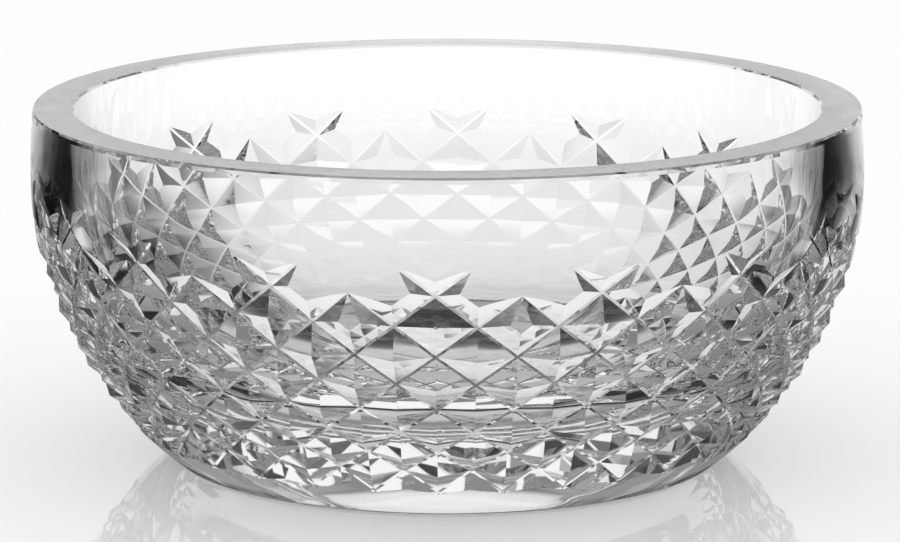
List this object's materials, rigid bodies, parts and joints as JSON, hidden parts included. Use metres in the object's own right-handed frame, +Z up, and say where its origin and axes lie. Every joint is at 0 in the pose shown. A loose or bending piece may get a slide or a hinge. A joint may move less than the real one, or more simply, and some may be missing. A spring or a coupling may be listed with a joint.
{
  "type": "cut glass bowl",
  "caption": "Round thick-walled bowl of clear lead crystal with an all-over diamond cut, a plain band under the flat ground rim and a flat foot, for fruit or salad.",
  "frame": {"origin": "centre of the flat foot, on the surface that the bowl stands on", "axes": "+Z up along the axis of the bowl, out of its mouth; +X and +Y each point at one of the crosses of the top row, and -Y is the side nearest the viewer"},
  "size_m": [0.203, 0.203, 0.0863],
  "materials": {
    "crystal": "polished cut lead crystal, clear and colourless, rim face finely ground"
  },
  "bodies": {
    "root": {"bowl": "crystal"}
  },
  "joints": []
}
